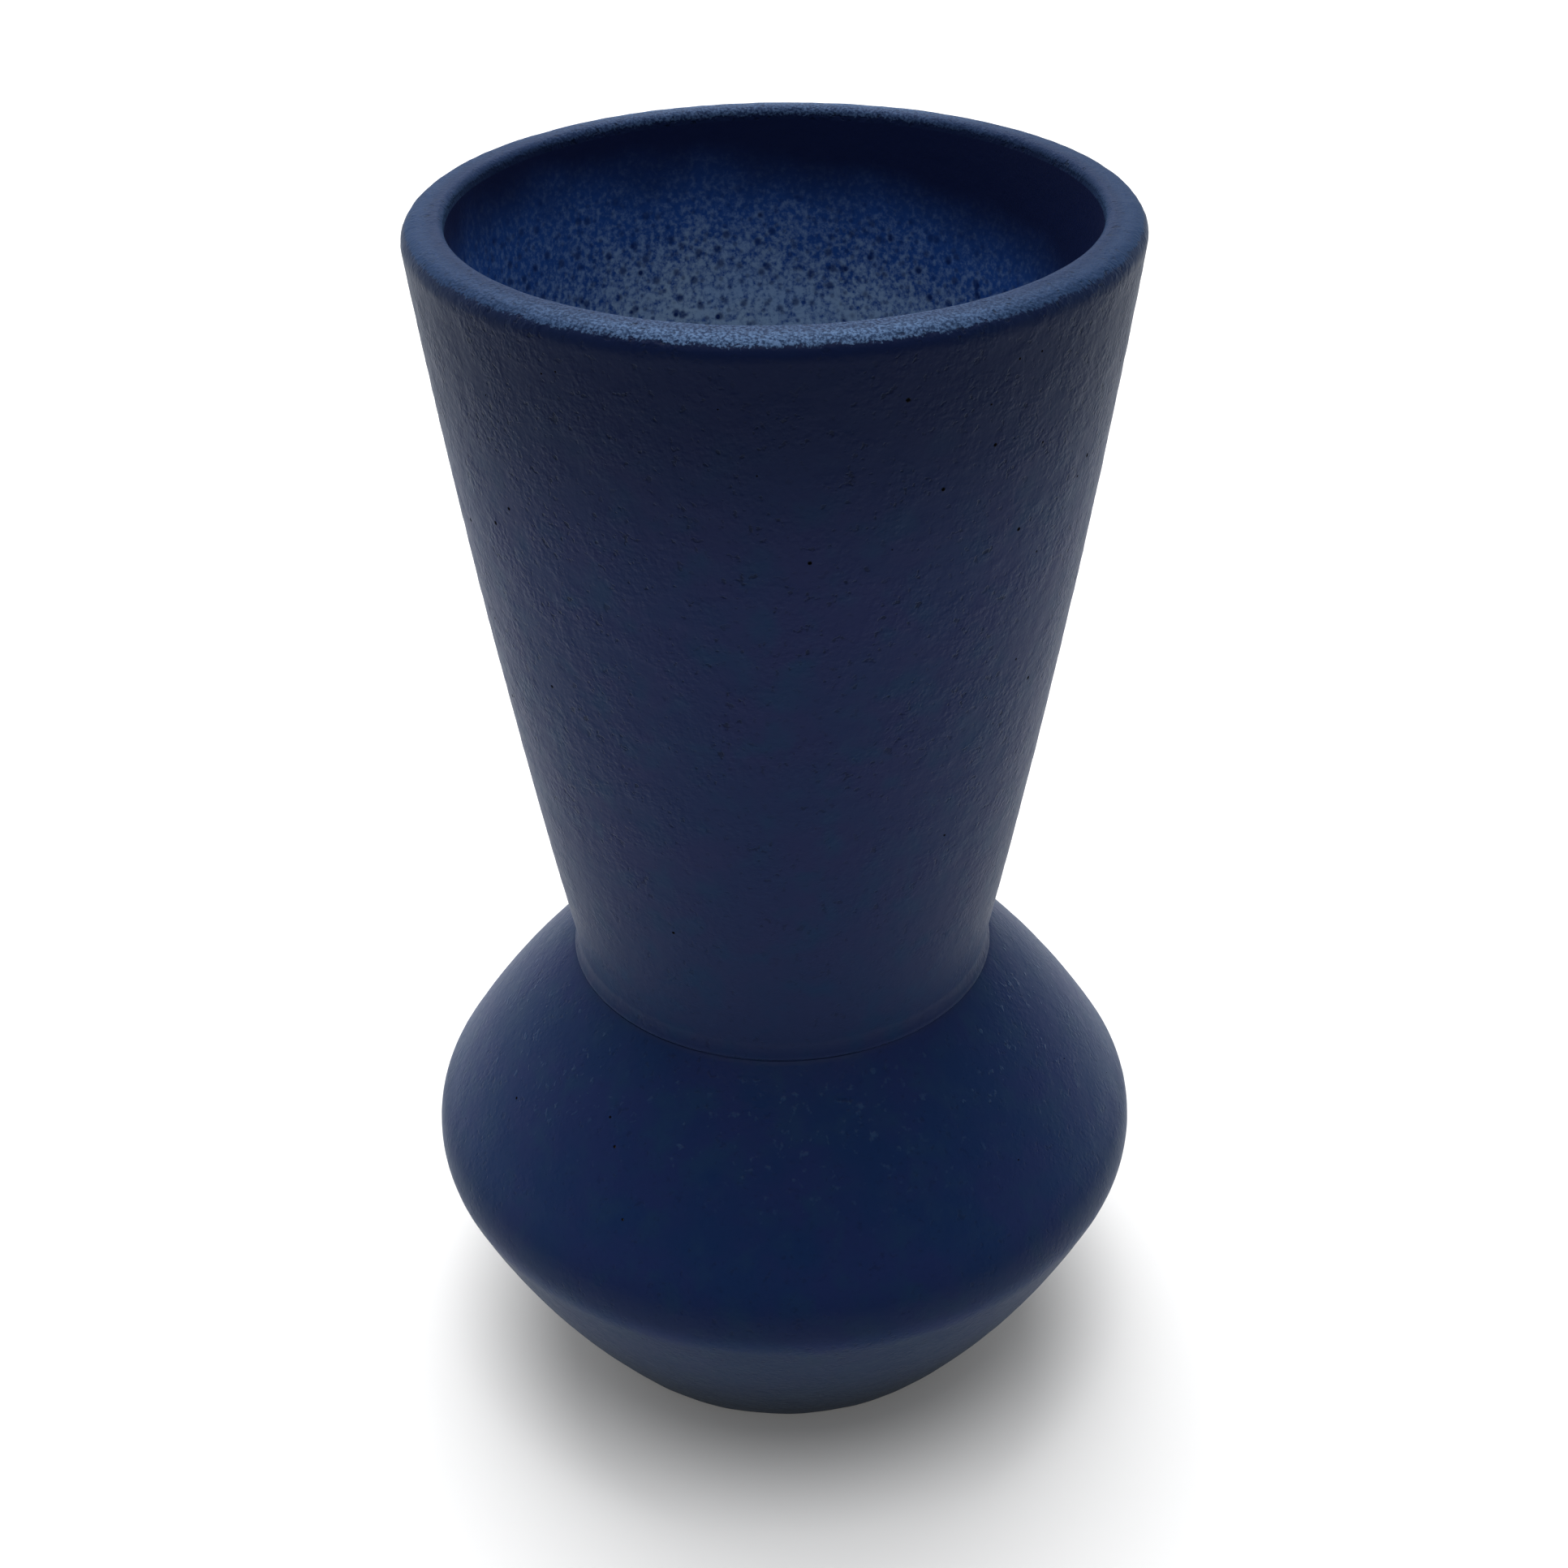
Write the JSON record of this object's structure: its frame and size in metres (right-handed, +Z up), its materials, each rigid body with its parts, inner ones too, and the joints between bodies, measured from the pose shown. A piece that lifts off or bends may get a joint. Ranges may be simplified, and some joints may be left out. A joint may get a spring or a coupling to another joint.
{
  "type": "vase",
  "caption": "Stoneware vase with a wide funnel neck and thick rounded lip on a squat double-cone body, matt dark blue outside and speckled inside.",
  "frame": {"origin": "middle of the foot, on the plane that it stands on", "axes": "+Z up along the vase's axis, towards the mouth; X and Y are any two directions across, as the vase is round"},
  "size_m": [0.162, 0.162, 0.2718],
  "materials": {
    "fired_clay": "bare fired stoneware, fine sandy grain",
    "joining_slip": "fired joining slip",
    "matt_blue_glaze": "matt, fine orange-peel surface with pinholes, paler where it breaks over edges",
    "speckled_lining": "satin, dark blue with dense pale grey-blue speckle"
  },
  "bodies": {
    "root": {"body": "fired_clay", "neck": "fired_clay", "neck_slip_joint": "joining_slip", "outer_glaze": "matt_blue_glaze", "inner_glaze": "speckled_lining"}
  },
  "joints": []
}
